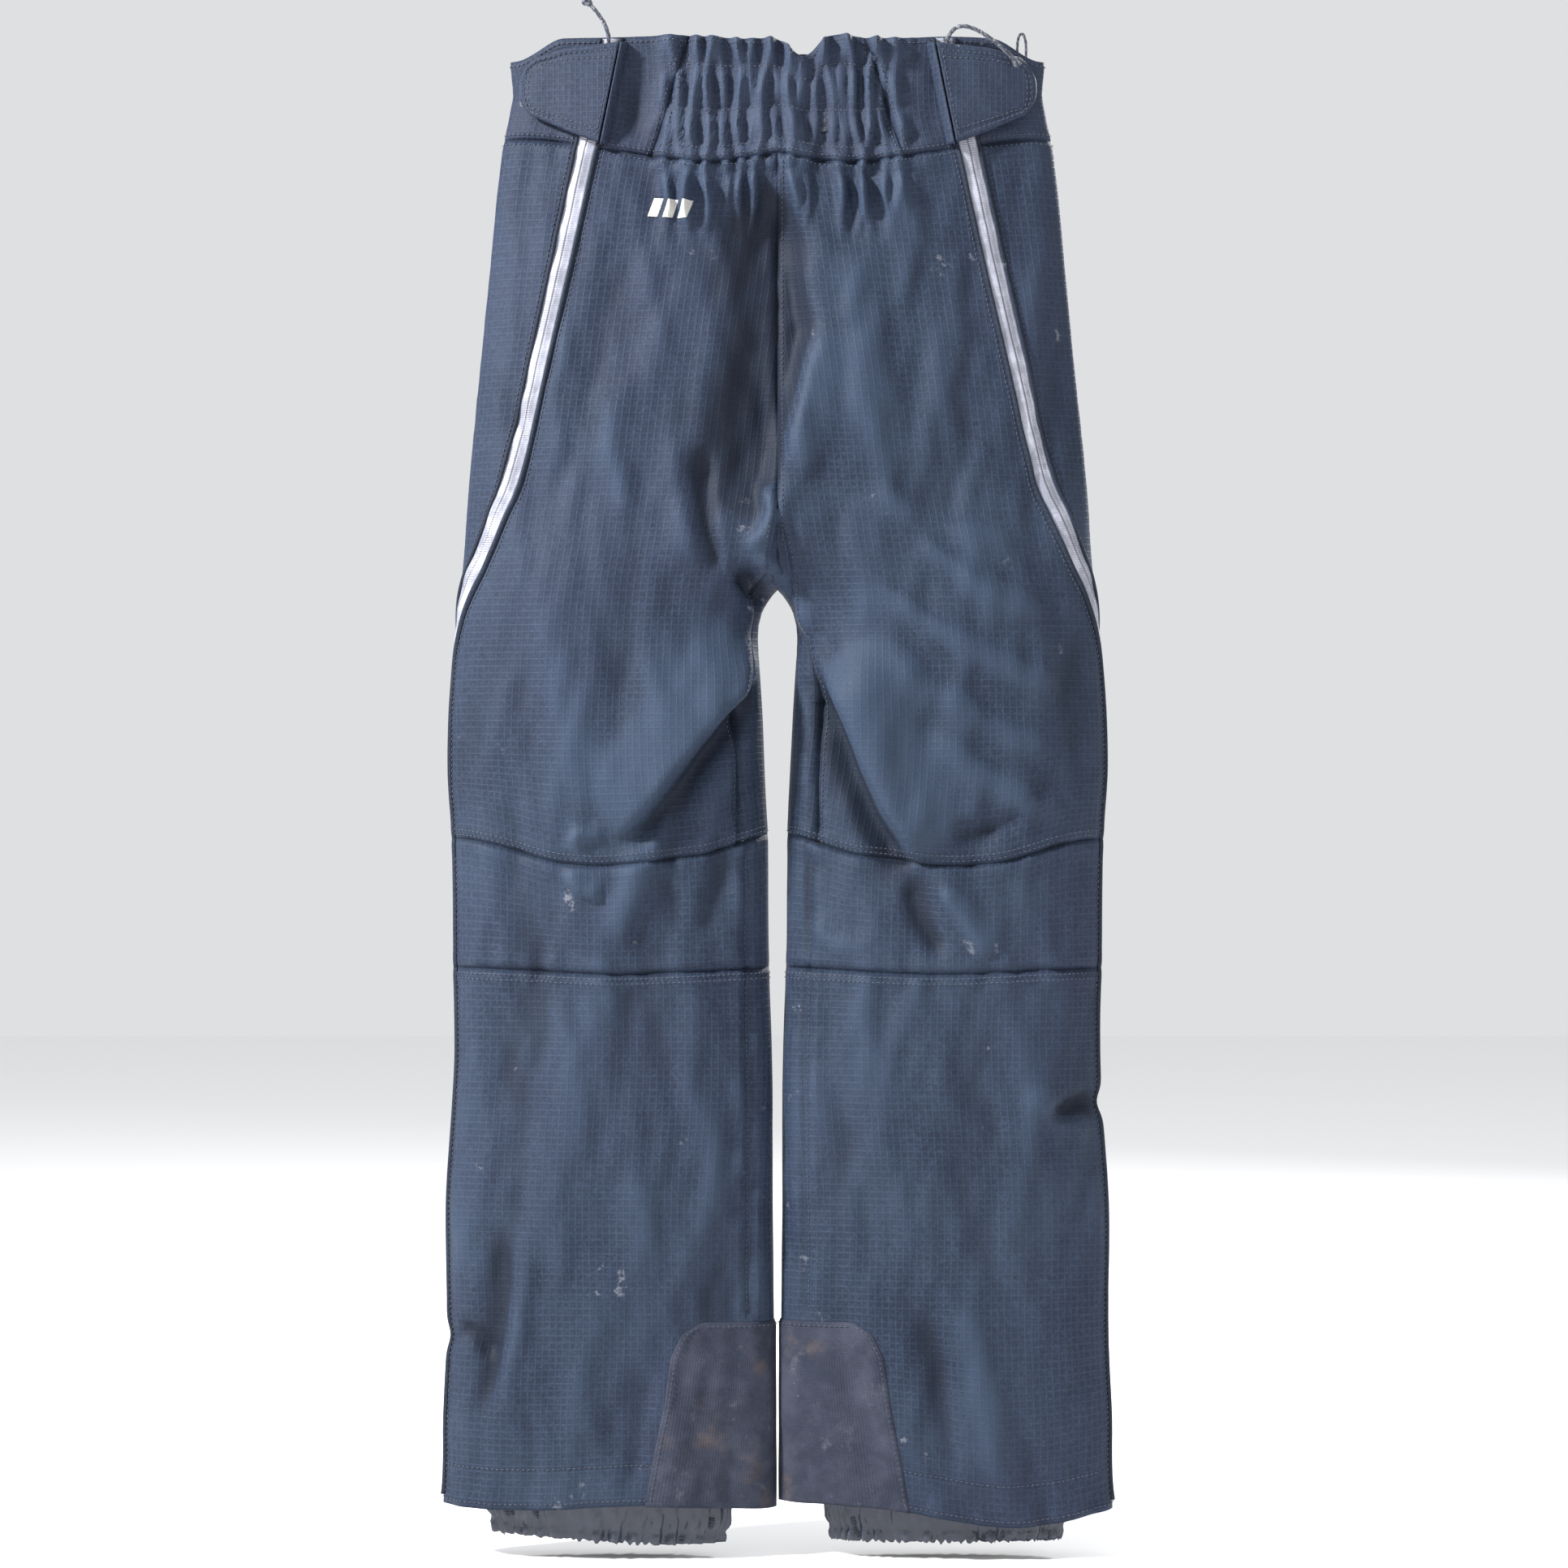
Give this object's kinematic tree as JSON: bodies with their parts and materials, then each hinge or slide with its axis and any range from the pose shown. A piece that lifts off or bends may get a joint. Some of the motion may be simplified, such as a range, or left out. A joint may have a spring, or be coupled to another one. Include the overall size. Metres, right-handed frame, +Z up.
{
  "type": "ski pants",
  "caption": "Full side-zip ski pants hanging by the waist, with elastic back, waist tabs, knee panels, ankle scuff guards and snow gaiters",
  "frame": {"origin": "middle of the waistband's top edge", "axes": "+Z up, the back of the trousers faces -Y, the wearer's left is -X"},
  "size_m": [0.4774, 0.0932, 1.0905],
  "materials": {
    "shell_cloth": "dark ripstop weave, slight sheen",
    "elastic_cloth": "dark ripstop weave, gathered",
    "scuff_cloth": "coarse worn weave",
    "zip_tape": "silvery coated tape and coil",
    "slider_metal": "dark painted metal",
    "cord": "braided cord with pale flecks",
    "hook_loop": "hook and loop pile",
    "gaiter_cloth": "shiny thin nylon",
    "elastic": "ribbed elastic",
    "thread": "satin stitched thread",
    "snap_metal": "brushed metal"
  },
  "bodies": {
    "trousers": {"waistband_elastic": "elastic_cloth", "inner_elastic": "elastic", "stitched_mark": "thread", "hanger_loop": "cord", "fly_tape": "zip_tape", "fly_coil": "zip_tape", "closure_fold": "shell_cloth", "snap_stud": "snap_metal", "waistband_panel_left": "shell_cloth", "waistband_front_left": "shell_cloth", "leg_gusset_left": "shell_cloth", "back_panel_left": "shell_cloth", "front_panel_left": "shell_cloth", "knee_back_left": "shell_cloth", "knee_front_left": "shell_cloth", "side_zip_thigh_left": "zip_tape", "side_zip_knee_left": "zip_tape", "waist_tab_fold_left": "shell_cloth", "waist_tab_loop_left": "hook_loop", "waistband_panel_right": "shell_cloth", "waistband_front_right": "shell_cloth", "leg_gusset_right": "shell_cloth", "back_panel_right": "shell_cloth", "front_panel_right": "shell_cloth", "knee_back_right": "shell_cloth", "knee_front_right": "shell_cloth", "side_zip_thigh_right": "zip_tape", "side_zip_knee_right": "zip_tape", "waist_tab_fold_right": "shell_cloth", "waist_tab_loop_right": "hook_loop"},
    "lower_leg_left": {"calf_panel_left": "shell_cloth", "shin_panel_left": "shell_cloth", "hem_facing_left": "shell_cloth", "scuff_guard_left": "scuff_cloth", "side_zip_shin_left": "zip_tape"},
    "gaiter_left": {"gaiter_left": "gaiter_cloth", "gaiter_elastic_left": "elastic"},
    "waist_tab_left": {"waist_tab_left": "shell_cloth", "waist_tab_hook_left": "hook_loop"},
    "zip_slider_left": {"zip_slider_left": "slider_metal", "pull_cord_left": "cord", "pull_knot_left": "cord"},
    "lower_leg_right": {"calf_panel_right": "shell_cloth", "shin_panel_right": "shell_cloth", "hem_facing_right": "shell_cloth", "scuff_guard_right": "scuff_cloth", "side_zip_shin_right": "zip_tape"},
    "gaiter_right": {"gaiter_right": "gaiter_cloth", "gaiter_elastic_right": "elastic"},
    "waist_tab_right": {"waist_tab_right": "shell_cloth", "waist_tab_hook_right": "hook_loop"},
    "zip_slider_right": {"zip_slider_right": "slider_metal", "pull_cord_right": "cord", "pull_knot_right": "cord"},
    "fly_slider": {"fly_slider": "slider_metal"},
    "fly_puller": {"fly_puller": "slider_metal"},
    "closure_flap": {"closure_flap": "shell_cloth", "snap_socket": "snap_metal", "snap_cap": "snap_metal"}
  },
  "joints": [
    {"name": "knee_bend_left", "type": "hinge", "parent": "trousers", "child": "lower_leg_left", "pos_m": [-0.1175, 0, -0.616], "axis": [-1, 0, 0], "range_deg": [0, 90], "deforming": ["knee_back_left", "knee_front_left", "side_zip_knee_left"]},
    {"name": "knee_bend_right", "type": "hinge", "parent": "trousers", "child": "lower_leg_right", "pos_m": [0.1175, 0, -0.616], "axis": [-1, 0, 0], "range_deg": [0, 90], "deforming": ["knee_back_right", "knee_front_right", "side_zip_knee_right"]},
    {"name": "gaiter_lift_left", "type": "slide", "parent": "lower_leg_left", "child": "gaiter_left", "axis": [0, 0, 1], "range_m": [0, 0.04]},
    {"name": "gaiter_lift_right", "type": "slide", "parent": "lower_leg_right", "child": "gaiter_right", "axis": [0, 0, 1], "range_m": [0, 0.04]},
    {"name": "waist_tab_peel_left", "type": "hinge", "parent": "trousers", "child": "waist_tab_left", "pos_m": [-0.11875, -0.03155, -0.04], "axis": [0.1974, 0.0204, 0.9801], "range_deg": [0, 120]},
    {"name": "waist_tab_peel_right", "type": "hinge", "parent": "trousers", "child": "waist_tab_right", "pos_m": [0.11875, -0.03155, -0.04], "axis": [0.1974, -0.0204, -0.9801], "range_deg": [0, 120]},
    {"name": "side_zip_left", "type": "slide", "parent": "trousers", "child": "zip_slider_left", "axis": [-0.2182, -0.0186, -0.9757], "range_m": [0, 0.2], "deforming": ["pull_cord_left", "pull_knot_left"]},
    {"name": "side_zip_right", "type": "slide", "parent": "trousers", "child": "zip_slider_right", "axis": [0.2182, -0.0186, -0.9757], "range_m": [0, 0.2], "deforming": ["pull_cord_right", "pull_knot_right"]},
    {"name": "fly_zip", "type": "slide", "parent": "trousers", "child": "fly_slider", "axis": [0, 0.0737, -0.9973], "range_m": [0, 0.11]},
    {"name": "fly_puller_swing", "type": "hinge", "parent": "fly_slider", "child": "fly_puller", "pos_m": [0, 0.03949, -0.0951], "axis": [1, 0, 0], "range_deg": [0, 150]},
    {"name": "closure_flap_open", "type": "hinge", "parent": "trousers", "child": "closure_flap", "pos_m": [-0.0242, 0.0337, -0.04], "axis": [0, -0.0586, 0.9983], "range_deg": [0, 110]}
  ]
}
